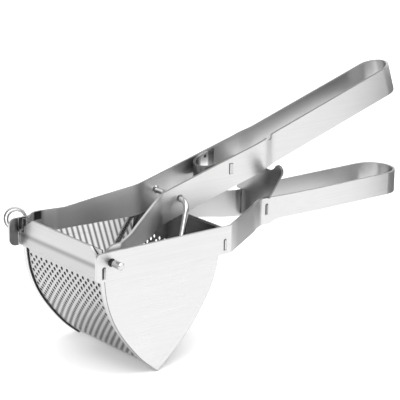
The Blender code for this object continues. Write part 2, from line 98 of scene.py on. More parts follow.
print("front end at x =", round(float(metres((0, 0, 0))[0]), 3), "m")

# %% [markdown]
# ## Camera
#
# Kitchen tools are usually shown through a long lens from some way off, because it keeps the two arms
# nearly parallel. The camera could be aimed with a Track To constraint. Here its three axes are worked
# out instead, since a constraint can't give the slight roll that a hand-levelled camera has.

# %% Camera
AZIMUTH = math.radians(-38.365)
ELEVATION = math.radians(16.474)
ROLL = math.radians(0.638)
DISTANCE = 1.35284
SENSOR = 36.0
FOCAL_PER_SENSOR = 4.98475
CLIP_END = 100
AIM = Vector(metres((120.43, -0.38, 3.63)))

level = math.cos(ELEVATION)
toward = Vector((math.sin(AZIMUTH) * level, -math.cos(AZIMUTH) * level, math.sin(ELEVATION)))
right = Vector((0, 0, 1)).cross(toward).normalized()
up = toward.cross(right)
turned_right = right * math.cos(ROLL) + up * math.sin(ROLL)
turned_up = up * math.cos(ROLL) - right * math.sin(ROLL)

camera_data = bpy.data.cameras.new("camera")
camera_data.lens = FOCAL_PER_SENSOR * SENSOR
camera_data.sensor_width = SENSOR
camera_data.clip_end = CLIP_END
camera = bpy.data.objects.new("camera", camera_data)
bpy.context.scene.collection.objects.link(camera)
camera.matrix_world = Matrix((turned_right, turned_up, toward)).transposed().to_4x4()
camera.matrix_world.translation = AIM + toward * DISTANCE
bpy.context.scene.camera = camera
print("camera at", [round(v, 3) for v in camera.matrix_world.translation])

# %% [markdown]
# ## Floor
#
# The tool lies on a roll of white studio paper. A curved backdrop would do too, but the camera looks
# down and sees no horizon, so one large plane is enough. Real paper under studio lamps reads as pure
# white: a little emission lifts the plane to that without adding another lamp.

# %% Floor
FLOOR_SIZE = 14
FLOOR_GAP = 0.0003
PAPER_TONE = 0.9
PAPER_GLOW = 0.14


def grey(tone):
    """A neutral colour with full alpha."""
    return (tone, tone, tone, 1)


def new_material(name):
    """An empty node material, its tree, and its Principled shader."""
    material = bpy.data.materials.new(name)
    material.use_nodes = True
    tree = material.node_tree
    return material, tree, tree.nodes["Principled BSDF"]


bpy.ops.object.select_all(action="DESELECT")
bpy.ops.mesh.primitive_plane_add(size=FLOOR_SIZE, location=(0, 0, cad_bounds[0][2] - FLOOR_GAP))
floor = bpy.context.active_object
floor.name = "floor"

paper, tree, surface = new_material("studio_paper")
surface.inputs["Base Color"].default_value = grey(PAPER_TONE)
surface.inputs["Roughness"].default_value = 0.9
surface.inputs["Specular IOR Level"].default_value = 0.1
surface.inputs["Emission Color"].default_value = grey(1)
surface.inputs["Emission Strength"].default_value = PAPER_GLOW
floor.data.materials.append(paper)
print("floor", round(cad_bounds[0][2] - FLOOR_GAP, 4), "m high")

# %% [markdown]
# ## The room
#
# Polished steel has almost no colour of its own: it shows the room. An image of a real studio could
# light it, but a ramp up the sky's height is easier to control. It is pale at the horizon, grey
# thirty degrees up and pale again overhead, so that every bend shows a light and a dark side.

# %% Room
SKY_TONES = ((0.0, 0.8), (0.5, 0.35), (0.95, 0.9))

bpy.context.scene.view_settings.view_transform = "Standard"
world = bpy.data.worlds.new("studio")
bpy.context.scene.world = world
world.use_nodes = True
tree = world.node_tree
backdrop = tree.nodes["Background"]
sky = tree.nodes.new("ShaderNodeTexCoord")
split = tree.nodes.new("ShaderNodeSeparateXYZ")
ramp = tree.nodes.new("ShaderNodeValToRGB")
tree.links.new(sky.outputs["Generated"], split.inputs[0])
tree.links.new(split.outputs["Z"], ramp.inputs["Fac"])
tree.links.new(ramp.outputs["Color"], backdrop.inputs["Color"])
stops = ramp.color_ramp.elements
stops.new(SKY_TONES[-1][0])
for stop, (height, tone) in zip(stops, SKY_TONES):
    stop.position = height
    stop.color = grey(tone)
backdrop.inputs["Strength"].default_value = 1.0
print("sky tones", [(round(stop.position, 2), round(stop.color[0], 2)) for stop in stops])

# %% [markdown]
# ## Lamps
#
# Two wide softboxes light the tool, one from behind the camera and one from its right. Area lamps
# would be the literal copy. Suns with a wide angle give as soft a shadow and don't fall off along the
# handles.
#
# The hopper is a deep box of mirrors that few light rays leave, so a small spot over its mouth, which
# no gloss shows and which casts no shadow, lifts the polished inside of the far plate.

# %% Lamps
def soft_sun(name, toward_light, angle, strength):
    """A sun as wide as a softbox, its angle in degrees."""
    data = bpy.data.lights.new(name, "SUN")
    data.angle = math.radians(angle)
    data.energy = strength
    light = bpy.data.objects.new(name, data)
    bpy.context.scene.collection.objects.link(light)
    light.rotation_euler = Vector(toward_light).to_track_quat("Z", "Y").to_euler()
    return light


soft_sun("key", toward_light=(-0.5, -0.5, 1.0), angle=60, strength=2.3)
soft_sun("fill", toward_light=(0.7, -0.4, 1.2), angle=70, strength=1.5)

lamp_data = bpy.data.lights.new("hopper_lamp", "SPOT")
lamp_data.energy = 0.19
lamp_data.spot_size = math.radians(80)
lamp_data.spot_blend = 0.8
lamp_data.shadow_soft_size = 0.01
lamp_data.use_shadow = False
lamp = bpy.data.objects.new("hopper_lamp", lamp_data)
bpy.context.scene.collection.objects.link(lamp)
lamp.location = metres((45.0, -40.0, 5.0))
lamp.rotation_euler = Vector((0.0, -1.0, 0.45)).to_track_quat("Z", "Y").to_euler()
lamp.visible_glossy = False

# %% [markdown]
# ## The black flag
#
# Whoever lights metal for a catalogue hangs black card beside it, so that the bends get a crisp dark
# edge. A darker sky would darken the whole tool. A card that only reflections can see does what the
# studio's card does, and leaves the white floor alone.

# %% Flag
FLAG_PLACE = (372, 95, -10)
FLAG_SIZE = (0.155, 0.42, 1)
FELT_TONE = 0.2

bpy.ops.object.select_all(action="DESELECT")
bpy.ops.mesh.primitive_plane_add(size=1, location=metres(FLAG_PLACE), rotation=(0, math.pi / 2, 0))
flag = bpy.context.active_object
flag.name = "black_flag"
flag.scale = FLAG_SIZE
flag.visible_camera = False
flag.visible_diffuse = False
flag.visible_shadow = False
felt, tree, surface = new_material("black_felt")
surface.inputs["Base Color"].default_value = grey(FELT_TONE)
surface.inputs["Roughness"].default_value = 1.0
surface.inputs["Specular IOR Level"].default_value = 0.0
flag.data.materials.append(felt)
print("flag", FLAG_SIZE[0], "by", FLAG_SIZE[1], "m")

# %% [markdown]
# ## Brushed stainless steel: the lines
#
# A belt sander leaves the strips with fine lines that all run one way. An image texture would repeat
# and need unwrapping. A noise in object coordinates, squeezed across the strip until its specks are
# nearly two hundred times as long as wide, never repeats and follows the piece when it moves. It feeds
# three things: it shifts the tone a little, the roughness more, and gives a shallow bump that spreads
# highlights across the grain.

# %% Grain
LENGTHWISE = (1, 0, 0)
CROSSWISE = (0, 1, 0)
EVEN = (1, 1, 1)
SCALE_ALONG = 18
SCALE_ACROSS = 3200
TONE_SPREAD = 0.05
TINT = 0.005


def grain_lines(tree, place, along, turn):
    """A noise stretched along the axes whose entry in along is 1."""
    mapping = tree.nodes.new("ShaderNodeMapping")
    mapping.inputs["Rotation"].default_value = turn
    mapping.inputs["Scale"].default_value = [SCALE_ALONG if axis else SCALE_ACROSS for axis in along]
    tree.links.new(place.outputs["Object"], mapping.inputs["Vector"])
    lines = tree.nodes.new("ShaderNodeTexNoise")
    lines.inputs["Scale"].default_value = 1.0
    lines.inputs["Detail"].default_value = 4.0
    lines.inputs["Roughness"].default_value = 0.6
    tree.links.new(mapping.outputs["Vector"], lines.inputs["Vector"])
    return lines.outputs["Fac"]


def grain_tone(tree, lines, tone, grain):
    """The steel's colour: slightly cool where the lines are dark, slightly warm where they are light."""
    colour = tree.nodes.new("ShaderNodeValToRGB")
    low = tone - TONE_SPREAD * grain
    high = tone + TONE_SPREAD * grain
    dark, light = colour.color_ramp.elements
    dark.position = 0.3
    dark.color = (low, low, low * (1 + TINT), 1)
    light.position = 0.7
    light.color = (high, high, high * (1 - TINT), 1)
    tree.links.new(lines, colour.inputs["Fac"])
    return colour.outputs["Color"]


# %% [markdown]
# ## Brushed stainless steel: handling
#
# Real steel isn't evenly smooth: handling leaves soft clouds in its gloss. A second, much coarser noise
# is added to the roughness that the lines give. A dirt image would do it as well, but a noise needs no
# unwrapping and costs one node.

# %% Gloss
CLOUD_SCALE = 28.0
CLOUD_ROUGHNESS = 0.05
LINE_ROUGHNESS = 0.14
LINE_OFFSET = 0.12
BUMP_DEPTH = 0.0002


def scaled_sum(tree, value, factor, added=None):
    """A Math node for value x factor + added. The caller may link the last input instead."""
    total = tree.nodes.new("ShaderNodeMath")
    total.operation = "MULTIPLY_ADD"
    total.inputs[1].default_value = factor
    tree.links.new(value, total.inputs[0])
    if added is not None:
        total.inputs[2].default_value = added
    return total


def grain_roughness(tree, place, lines, rough, grain):
    """The roughness: a level, plus the lines, plus soft clouds."""
    clouds = tree.nodes.new("ShaderNodeTexNoise")
    clouds.inputs["Scale"].default_value = CLOUD_SCALE
    clouds.inputs["Detail"].default_value = 3.0
    tree.links.new(place.outputs["Object"], clouds.inputs["Vector"])
    lined = scaled_sum(tree, lines, LINE_ROUGHNESS * grain, rough - LINE_OFFSET * grain)
    spread = scaled_sum(tree, clouds.outputs["Fac"], CLOUD_ROUGHNESS)
    tree.links.new(lined.outputs[0], spread.inputs[2])
    return spread.outputs[0]


def grain_bump(tree, lines, strength):
    """A normal that the lines tilt a little."""
    height = tree.nodes.new("ShaderNodeBump")
    height.inputs["Strength"].default_value = strength
    height.inputs["Distance"].default_value = BUMP_DEPTH
    tree.links.new(lines, height.inputs["Height"])
    return height.outputs["Normal"]


# %% [markdown]
# ## Painted reflections and shade
#
# In a real kitchen or studio each face mirrors something else, so one strip is light here and dark there.
# Modelling everything round the tool would take longer than the tool. Instead the finish paints these
# reflections and shades into its colour, multiplying its tone inside soft-edged boxes: each face of a box
# is a smooth ramp on one coordinate, and the product of the ramps is the mask. Bands, painted reflections
# for mirrored folds, are a sine on one direction.

# %% Patches
def patch(factor, soft, x=(None, None), y=(None, None), z=(None, None)):
    """A box in millimetres whose tone is multiplied, for painted light or shade. A limit of None leaves
    that side open.
    """
    return (x, y, z), soft, factor


def scaled_tone(tree, tone, factor):
    """A colour multiplied by a value."""
    scaled = tree.nodes.new("ShaderNodeVectorMath")
    scaled.operation = "SCALE"
    tree.links.new(tone, scaled.inputs[0])
    tree.links.new(factor, scaled.inputs["Scale"])
    return scaled.outputs[0]


def remapped(tree, value, low, high, to_low, to_high):
    """A Map Range node from one pair of limits to another."""
    changed = tree.nodes.new("ShaderNodeMapRange")
    changed.inputs["From Min"].default_value = low
    changed.inputs["From Max"].default_value = high
    changed.inputs["To Min"].default_value = to_low
    changed.inputs["To Max"].default_value = to_high
    tree.links.new(value, changed.inputs["Value"])
    return changed


# %% Masks
def patch_mask(tree, place, limits, soft):
    """A value that is 1 inside the box and fades to 0 over the soft margin."""
    split = tree.nodes.new("ShaderNodeSeparateXYZ")
    tree.links.new(place.outputs["Object"], split.inputs[0])
    total = None
    for axis, (low, high) in enumerate(limits):
        for edge, inside in ((low, 1), (high, -1)):
            if edge is None:
                continue
            at = (edge - GRIP[axis]) / MM_PER_M
            margin = inside * soft / MM_PER_M
            side = remapped(tree, split.outputs[axis], at - margin, at + margin, 0, 1)
            side.interpolation_type = "SMOOTHSTEP"
            if total is None:
                total = side.outputs[0]
                continue
            both = tree.nodes.new("ShaderNodeMath")
            both.operation = "MULTIPLY"
            tree.links.new(total, both.inputs[0])
            tree.links.new(side.outputs[0], both.inputs[1])
            total = both.outputs[0]
    return total


# %% Bands
BANDS_ACROSS = (0.959, 0, 0.284)
BAND_LOW = -1.0
BAND_HIGH = 0.4


def banded_tone(tree, place, tone, spacing, dark, light):
    """Painted dark and light bands of reflection, their spacing in millimetres."""
    turns = 2 * math.pi * MM_PER_M / spacing
    across = tree.nodes.new("ShaderNodeVectorMath")
    across.operation = "DOT_PRODUCT"
    across.inputs[1].default_value = [share * turns for share in BANDS_ACROSS]
    tree.links.new(place.outputs["Object"], across.inputs[0])
    wave = tree.nodes.new("ShaderNodeMath")
    wave.operation = "SINE"
    tree.links.new(across.outputs["Value"], wave.inputs[0])
    band = remapped(tree, wave.outputs[0], BAND_LOW, BAND_HIGH, dark, light)
    return scaled_tone(tree, tone, band.outputs[0])


# %% [markdown]
# ## Brushed stainless steel: the shader
#
# A brushed face smears a reflection across its lines. The Principled shader's Anisotropic value does
# that, if the Tangent socket says which way the smear runs. A tangent from an unwrapped map would turn
# at every seam, so the direction is given as one vector, nearly upright, for all the strips.

# %% Steel
NO_TURN = (0, 0, 0)
SMEAR_ALONG = (0.04, 0.03, 1.0)


def brushed_steel(name, along, tone, rough, grain=0.6, turn=NO_TURN, bump=0.04, smear=0.7, metal=1.0,
                  bands=None, patches=()):
    """Steel with fine lines along one axis, and optional painted bands and patches of reflection and shade.
    """
    material, tree, surface = new_material(name)
    surface.inputs["Metallic"].default_value = metal
    surface.inputs["Anisotropic"].default_value = smear
    if smear > 0:
        tangent = tree.nodes.new("ShaderNodeCombineXYZ")
        for socket, value in zip(tangent.inputs, SMEAR_ALONG):
            socket.default_value = value
        tree.links.new(tangent.outputs[0], surface.inputs["Tangent"])
    place = tree.nodes.new("ShaderNodeTexCoord")
    lines = grain_lines(tree, place, along, turn)
    colour = grain_tone(tree, lines, tone, grain)
    for limits, soft, factor in patches:
        mask = patch_mask(tree, place, limits, soft)
        colour = scaled_tone(tree, colour, remapped(tree, mask, 0, 1, 1, factor).outputs[0])
    if bands:
        colour = banded_tone(tree, place, colour, *bands)
    tree.links.new(colour, surface.inputs["Base Color"])
    tree.links.new(grain_roughness(tree, place, lines, rough, grain), surface.inputs["Roughness"])
    tree.links.new(grain_bump(tree, lines, bump), surface.inputs["Normal"])
    print("finish", name, len(tree.nodes), "nodes")
    return material


# %% [markdown]
# ## Edges of the flat pieces
#
# Sheared strip is tumbled after cutting, so its edges are a little round and carry a thin line of light. A
# rounding in the shader would keep the mesh small, but it isn't there in an export. So each flat piece is a
# copy of its CAD node: doubles are merged, flat faces joined again, and a narrow bevel run round every
# sharp edge. The bevel gets a dark finish, a painted dark outline that stands for dark surroundings
# mirrored in the rounded edge. On this tool the strips are smoother inside than outside, so faces that look
# towards the tool's middle can get a finish of their own, which also carries painted reflections and shade.

# %% Rounded copies
MERGE = 0.00001
FLAT_ANGLE = math.radians(0.5)
SHARP_ANGLE = math.radians(32)
SMOOTH_ANGLE = math.radians(35)
BEVEL_SEGMENTS = 2
UPRIGHT = 0.5
TURN_START = metres((279.3, 0, 0))[0]

# Painted dark outline: the bevels' dark finish stands for dark surroundings mirrored in the rounded edges.
edge_steel = brushed_steel("painted_dark_outline_steel", LENGTHWISE, tone=0.17, rough=0.35, smear=0)
FINISH = {}
INNER_FINISH = {}
EDGE_FINISH = {}
OUTER_SLOT, INNER_SLOT, EDGE_SLOT = range(3)


def looks_inward(polygon):
    """True for an upright face that looks towards the middle plane or, past TURN_START, the loop."""
    past_turn = max(0.0, polygon.center.x - TURN_START)
    outward = polygon.normal.y * polygon.center.y + polygon.normal.x * past_turn
    return outward < 0 and abs(polygon.normal.z) < UPRIGHT


# %% Clean flats
def clean_flats(piece):
    """Merges doubled points and joins the triangles of each flat face."""
    only(piece)
    bpy.ops.object.mode_set(mode="EDIT")
    bpy.ops.mesh.select_all(action="SELECT")
    bpy.ops.mesh.remove_doubles(threshold=MERGE)
    bpy.ops.mesh.dissolve_limited(angle_limit=FLAT_ANGLE)
    bpy.ops.object.mode_set(mode="OBJECT")


def flatten_shading(piece):
    """Smooth shading in which a large flat face keeps its own direction right up to its rounded edge."""
    only(piece)
    bpy.ops.object.shade_smooth_by_angle(angle=SMOOTH_ANGLE)
    even = piece.modifiers.new("Flats", "WEIGHTED_NORMAL")
    even.keep_sharp = True
    bpy.ops.object.modifier_apply(modifier="Flats")


# %% Bevelled copy
def rounded_copy(node, name, width):
    """A copy of a CAD node with its finishes and a bevel of this width in millimetres."""
    source = frame["nodes"][node]
    piece = source.copy()
    piece.data = source.data.copy()
    piece.name = name
    bpy.context.scene.collection.objects.link(piece)
    outer = FINISH[node]
    piece.data.materials.clear()
    for material in (outer, INNER_FINISH.get(node, outer), EDGE_FINISH.get(node, edge_steel)):
        piece.data.materials.append(material)
    for polygon in piece.data.polygons:
        polygon.material_index = INNER_SLOT if looks_inward(polygon) else OUTER_SLOT
    clean_flats(piece)
    edge = piece.modifiers.new("Edge", "BEVEL")
    edge.width = width / MM_PER_M
    edge.segments = BEVEL_SEGMENTS
    edge.limit_method = "ANGLE"
    edge.angle_limit = SHARP_ANGLE
    edge.use_clamp_overlap = True
    edge.material = EDGE_SLOT
    bpy.ops.object.modifier_apply(modifier="Edge")
    flatten_shading(piece)
    return piece


# %% Fitting
def fit(piece, node):
    """Gives a finished piece its body and hides the CAD node that it stands for."""
    piece.parent = None
    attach(piece, BODY_OF[node])
    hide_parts(node)


def round_and_fit(widths):
    """A rounded copy of each node, with its bevel width in millimetres."""
    for node, width in widths.items():
        piece = rounded_copy(node, node + "_steel", width)
        fit(piece, node)
        print(piece.name, len(piece.data.polygons), "faces")


# %% [markdown]
# ## The frame
#
# The frame is one strip bent into two arms, a neck and a looped handle. Three cross plates hold its
# arms apart: a creased tie in front, a plain tie behind the hopper, and a stop plate in the neck whose
# ears the closed lever rests above. Their tabs go through slots in the arms. All four could share one
# steel, but the plates were brushed across the tool and the strip along it, which shows as soon as the
# light moves. Shapes come from the CAD, where the slots are already cut.

# %% Frame finishes
# Painted shade: the outer strip is darker along the near side of the neck.
FINISH["frame_band"] = brushed_steel(
    "frame_strip_steel", LENGTHWISE, tone=0.61, rough=0.38, grain=0.7, patches=(
        patch(0.62, 7.0, x=(114.0, 152.0), y=(-46.0, -15.0)),))
# Painted light and shade on the inner faces: lighter along the far wall beside the hopper, dark on the far
# wall's front end, and dark in the slot beside the front tie's tab.
INNER_FINISH["frame_band"] = brushed_steel(
    "frame_inner_steel", LENGTHWISE, tone=0.5, rough=0.3, grain=0.3, bump=0.015, patches=(
        patch(1.9, 5.0, x=(None, 97.0), y=(40.0, None)),
        patch(0.22, 0.4, x=(None, 4.6), y=(46.6, 47.8)),
        patch(0.1, 0.5, x=(5.0, 11.0), y=(46.6, 47.8), z=(-8.0, None))))
# Painted shade on the front tie: darker below the crease, a dark line along the crease, and dark tab sides
# inside the near slot, lifted again on the tab's end.
FINISH["front_tie"] = brushed_steel("front_tie_steel", CROSSWISE, tone=0.58, rough=0.4, grain=0.4, patches=(
    patch(0.86, 0.8, z=(None, -9.6)),
    patch(0.62, 1.6, z=(-12.2, -9.2)),
    patch(0.1, 0.05, y=(None, -46.95)),
    patch(9.0, 0.05, y=(None, -49.3))))
FINISH["rear_tie"] = brushed_steel("rear_tie_steel", CROSSWISE, tone=0.54, rough=0.26)
# Painted shade: the stop plate darkens towards its near upper corner.
FINISH["stop_plate"] = brushed_steel("stop_plate_steel", CROSSWISE, tone=0.3, rough=0.24, patches=(
    patch(0.45, 7.0, y=(None, -10.0), z=(5.0, None)),))

# %% Frame pieces
round_and_fit({"frame_band": 0.35, "front_tie": 0.3, "rear_tie": 0.3, "stop_plate": 0.4})

# %% [markdown]
# ## The hopper's side plates
#
# Each side plate is pressed from thin sheet, with a rim folded over the edges of the perforated
# sheets. Inside, the plates mirror the perforated sheets as upright light and dark bands, and are
# nearly black below and in front, where little light comes in. True mirrors this deep need many
# bounces and turn noisy, so the bands are painted on. That face is finished as a non-metal, because a
# metal there would only show the dark.
#
# The rim is just 0.8 mm thick. A bevel of half that or more would meet itself, so this one is 0.3 mm.

# %% Side plates
# Their spacing in millimetres, and the factors on the tone in the dark and in the light.
MIRROR_BANDS = (4.15, 0.3, 1.5)

side_steel = brushed_steel("hopper_side_steel", LENGTHWISE, tone=0.58, rough=0.3, grain=0.8)
inner_steel = brushed_steel(
    "hopper_inner_steel", LENGTHWISE, tone=0.6, rough=0.22, grain=0.2, bump=0.01, smear=0, metal=0.0,
    bands=MIRROR_BANDS, patches=(
        patch(0.08, 2.0, z=(None, -37.0)),
        patch(0.1, 3.0, x=(None, 33.0))))
for plate in ("hopper_side_near", "hopper_side_far"):
    FINISH[plate] = side_steel
    INNER_FINISH[plate] = inner_steel
round_and_fit({"hopper_side_near": 0.3, "hopper_side_far": 0.3})

# %% [markdown]
# ## The lever
#
# The lever is a second strip, folded from two ears on the hinge pin to a looped upper handle. Its arms
# climb, so its brushed lines climb too: the noise is turned by the same angle. A U-shaped bridge ties the
# two arms together where they come close. Its sheared edges face the light, so they get a bright edge
# finish, a painted highlight, where every other piece has a painted dark outline.

# %% Lever
LEVER_TURN = (0, math.radians(16), 0)

# Painted light and shade on the lever's outer faces: a dark front end on the far arm, and two lighter
# stretches on the near arm.
FINISH["lever_band"] = brushed_steel(
    "lever_strip_steel", LENGTHWISE, tone=0.61, rough=0.4, grain=0.7, turn=LEVER_TURN, patches=(
        patch(0.15, 0.4, x=(None, 9.6), y=(43.0, None)),
        patch(1.35, 4.0, x=(18.0, 72.0), y=(-44.0, -17.0)),
        patch(1.15, 12.0, x=(80.0, 104.0), y=(-17.0, -12.0))))
# Painted light and shade on the inner faces: lighter along the far arm, a dark front end, a dark patch
# above the far ear for the wall that lies in shade behind it, and a light stretch just behind that.
INNER_FINISH["lever_band"] = brushed_steel(
    "lever_inner_steel", LENGTHWISE, tone=0.52, rough=0.3, grain=0.3, turn=LEVER_TURN, bump=0.015, patches=(
        patch(1.6, 8.0, x=(None, 112.0), y=(5.0, None)),
        patch(0.1, 0.4, x=(None, 9.6), y=(43.0, 45.6)),
        patch(0.1, 0.6, x=(14.8, 20.6), y=(43.0, 44.5), z=(-2.6, None)),
        patch(1.2, 1.5, x=(22.5, 30.0), y=(36.0, 44.5))))
# Painted light and shade on the bridge: a light far leg with a painted dark spot where a hole shows dark, a
# darker stretch behind it, and a darker front.
FINISH["lever_bridge"] = brushed_steel(
    "lever_bridge_steel", LENGTHWISE, tone=0.45, rough=0.2, grain=0.4, turn=LEVER_TURN, patches=(
        patch(2.1, 0.7, x=(127.5, 135.6), y=(7.0, None)),
        patch(0.1, 0.4, x=(132.2, 134.2), y=(7.0, None), z=(29.0, 31.0)),
        patch(0.6, 0.4, x=(136.2, None), y=(7.0, None)),
        patch(0.5, 1.5, x=(None, 126.0))))
# Painted highlight along the bridge's edges.
EDGE_FINISH["lever_bridge"] = brushed_steel("painted_highlight_edge_steel", LENGTHWISE, tone=0.8, rough=0.4, smear=0)
round_and_fit({"lever_band": 0.35, "lever_bridge": 0.3})

# %% [markdown]
# ## The press plate and the hinge pin
#
# The press plate is folded to the hopper's V and has a lug at each end for the wire that carries it.
# The pin is drawn rod: its faint lines run along it, and it shines more than the strips. Its groove reads
# as a dark collar of shade, which one thin patch of painted shade draws. A round part could be made with a
# Screw modifier, but the CAD node already has the right profile, so it is only bevelled.

# %% Press and pin
press_steel = brushed_steel("press_plate_steel", CROSSWISE, tone=0.3, rough=0.28)
for node in ("press_plate", "press_lug_near", "press_lug_far"):
    FINISH[node] = press_steel
# Painted shade: a thin dark band in the groove next to the wall.
FINISH["hinge_pin"] = brushed_steel(
    "hinge_pin_steel", CROSSWISE, tone=0.52, rough=0.16, grain=0.4, bump=0.01, smear=0, patches=(
        patch(0.08, 0.1, y=(-52.3, -48.9)),))
round_and_fit({"press_plate": 0.25, "press_lug_near": 0.25, "press_lug_far": 0.25, "hinge_pin": 0.15})

# %% [markdown]
# ## Bent wire
#
# The bail is one round wire, bent at four places: a crossbar through the lever, two legs that lean
# forward and spread, and a short foot on each leg for the press plate's lugs. A wire could be built
# from cylinders and elbows, but a path with a round section swept along it bends the way wire does,
# with no seams. Each corner of the path is swapped for an arc of the bender's radius.

# %% Wire helpers
ARC_STEPS = 14
WIRE_SMOOTH_ANGLE = math.radians(40)


def rounded_path(corners, radii):
    """The corner points of a bent wire, each inner corner swapped for an arc of its radius."""
    corners = [np.array(corner, float) for corner in corners]
    path = [corners[0]]
    for before, corner, after, radius in zip(corners, corners[1:], corners[2:], radii):
        a = (before - corner) / np.linalg.norm(before - corner)
        b = (after - corner) / np.linalg.norm(after - corner)
        half = math.acos(np.clip(a @ b, -1, 1)) / 2
        reach = radius / math.tan(half)
        centre = corner + (a + b) / np.linalg.norm(a + b) * radius / math.sin(half)
        first = corner + a * reach - centre
        last = corner + b * reach - centre
        sweep = math.pi - 2 * half
        for i in range(ARC_STEPS + 1):
            t = i / ARC_STEPS
            turned = math.sin((1 - t) * sweep) * first + math.sin(t * sweep) * last
            path.append(centre + turned / math.sin(sweep))
    return path + [corners[-1]]


# %% Swept wire
def wire_piece(name, node, path, radius, roundness):
    """A round wire along a path of points in millimetres, closed at both ends."""
    bpy.ops.object.select_all(action="DESELECT")
    bpy.ops.curve.primitive_nurbs_path_add(location=(0, 0, 0))
    curve = bpy.context.active_object.data
    curve.splines.clear()
    line = curve.splines.new("POLY")
    line.points.add(len(path) - 1)
    for point, at in zip(line.points, metres(path)):
        point.co = (*at, 1)
    curve.twist_mode = "MINIMUM"
    curve.bevel_depth = radius / MM_PER_M
    curve.bevel_resolution = roundness
    curve.use_fill_caps = True
    bpy.ops.object.convert(target="MESH")
    piece = bpy.context.active_object
    only(piece)
    bpy.ops.object.mode_set(mode="EDIT")
    bpy.ops.mesh.select_all(action="SELECT")
    bpy.ops.mesh.remove_doubles(threshold=MERGE)
    bpy.ops.mesh.normals_make_consistent(inside=False)
    bpy.ops.object.mode_set(mode="OBJECT")
    bpy.ops.object.shade_smooth_by_angle(angle=WIRE_SMOOTH_ANGLE)
    piece.name = name
    piece.data.materials.clear()
    piece.data.materials.append(FINISH[node])
    fit(piece, node)
    print(name, len(piece.data.polygons), "faces")


# %% Bail
BAIL_CORNERS = [(66.5, -43.0, -47.5), (66.5, -38.77, -47.5), (92.4, -22.7, 12.9),
                (92.4, 22.7, 12.9), (66.5, 38.77, -47.5), (66.5, 43.0, -47.5)]
BAIL_RADII = (3.6, 9.0, 9.0, 3.6)
BAIL_WIRE = 1.9

FINISH["press_bail"] = brushed_steel(
    "polished_wire_steel", EVEN, tone=0.46, rough=0.12, grain=0.3, bump=0.01, smear=0)
bail_path = rounded_path(BAIL_CORNERS, BAIL_RADII)
wire_piece("press_bail_wire", "press_bail", bail_path, BAIL_WIRE, roundness=8)

# %% [markdown]
# ## Split ring
#
# The ring through the pin is a split ring: a wire wound nearly twice round, so that it can be threaded
# on. Two rings side by side would look alike from afar, but they would show no ends and no crossing.
# One spiral does: a tanh carries the wire from one coil to the other where they cross, and its reach
# grows away from there, so that the coils lie beside each other without touching.

# %% Ring
RING_HOLE = np.array((11.7, 51.2, -6.9))
RING_OUT = np.array((-0.54248649, 0.6363465, 0.54842642))
RING_NORMAL = np.array((-0.59494497, -0.75193045, 0.28397373))
RING_ALONG = np.cross(RING_NORMAL, RING_OUT)
RING_RADIUS = 6.6
RING_WIRE = 0.7
RING_POINTS = 117
HALF_WOUND = 350
CROSSING = 0.6
NEAR_GAP = 0.3
FAR_GAP = 0.8
SIDE_STEP = 0.35

middle = RING_HOLE + RING_RADIUS * RING_OUT
coil = []
for i in range(RING_POINTS):
    turn = math.radians(-HALF_WOUND + 2 * HALF_WOUND * i / (RING_POINTS - 1))
    crossing = math.tanh(turn / CROSSING)
    reach = RING_RADIUS + crossing * (NEAR_GAP + FAR_GAP * math.sin(turn / 2) ** 2)
    around = math.cos(turn + math.pi) * RING_OUT + math.sin(turn + math.pi) * RING_ALONG
    coil.append(middle + reach * around + SIDE_STEP * crossing * RING_NORMAL)

FINISH["pull_ring"] = brushed_steel(
    "split_ring_steel", EVEN, tone=0.34, rough=0.2, grain=0.3, bump=0.01, smear=0)
wire_piece("pull_ring_coils", "pull_ring", coil, RING_WIRE, roundness=5)

# %% [markdown]
# ## The perforated sheets: one hole
#
# Potato is pressed through rows of small punched holes, each row standing half a step from the next.
# Hundreds of Boolean cuts in a curved sheet are slow and leave ragged faces. It is quicker to work
# flat, as the punching press does: one hole is drawn in a small tile, the tile is repeated into a
# sheet, and only then is the sheet rolled. The tile is a circle bridged to the six points of its
# border, with the two middle points there to meet the neighbouring row's corners.

# %% Hole tile
PITCH = 5.96
ROW = 2.7
HOLE = 1.3
HOLE_SIDES = 12
FLAT_MERGE = 0.01


def hole_tile():
    """One cell of the sheet, in millimetres: six border points joined to a round hole."""
    bpy.ops.object.select_all(action="DESELECT")
    bpy.ops.mesh.primitive_circle_add(vertices=HOLE_SIDES, radius=HOLE, location=(0, 0, 0))
    tile = bpy.context.active_object
    corners = [(-PITCH / 2, ROW / 2), (0, ROW / 2), (PITCH / 2, ROW / 2),
               (PITCH / 2, -ROW / 2), (0, -ROW / 2), (-PITCH / 2, -ROW / 2)]
    bpy.ops.object.mode_set(mode="EDIT")
    bpy.ops.mesh.select_all(action="DESELECT")
    bpy.ops.mesh.primitive_circle_add(vertices=len(corners), radius=PITCH, location=(0, 0, 0))
    bm = bmesh.from_edit_mesh(tile.data)
    outer = [vert for vert in bm.verts if vert.co.length > 2 * HOLE]
    outer.sort(key=lambda vert: -math.atan2(vert.co.y, vert.co.x))
    top_left = Vector((-PITCH, PITCH))
    start = min(range(len(outer)), key=lambda i: (outer[i].co.xy - top_left).length)
    for vert, corner in zip(outer[start:] + outer[:start], corners):
        vert.co = (*corner, 0)
    bmesh.update_edit_mesh(tile.data)
    bpy.ops.mesh.select_all(action="SELECT")
    bpy.ops.mesh.bridge_edge_loops()
    bpy.ops.object.mode_set(mode="OBJECT")
    return tile


# %% [markdown]
# ## The perforated sheets: the punched field
#
# Two rows, one of fourteen holes and one of thirteen, make the pattern's unit. Array modifiers repeat
# the tile along each row and then the unit down the sheet. The arrays merge as they go, so the field
# is one mesh. A loop that adds tiles would give the same mesh far more slowly.

# %% Punched field
HOLES_IN_ROW = 14
FIELD_EDGE = HOLES_IN_ROW * PITCH / 2


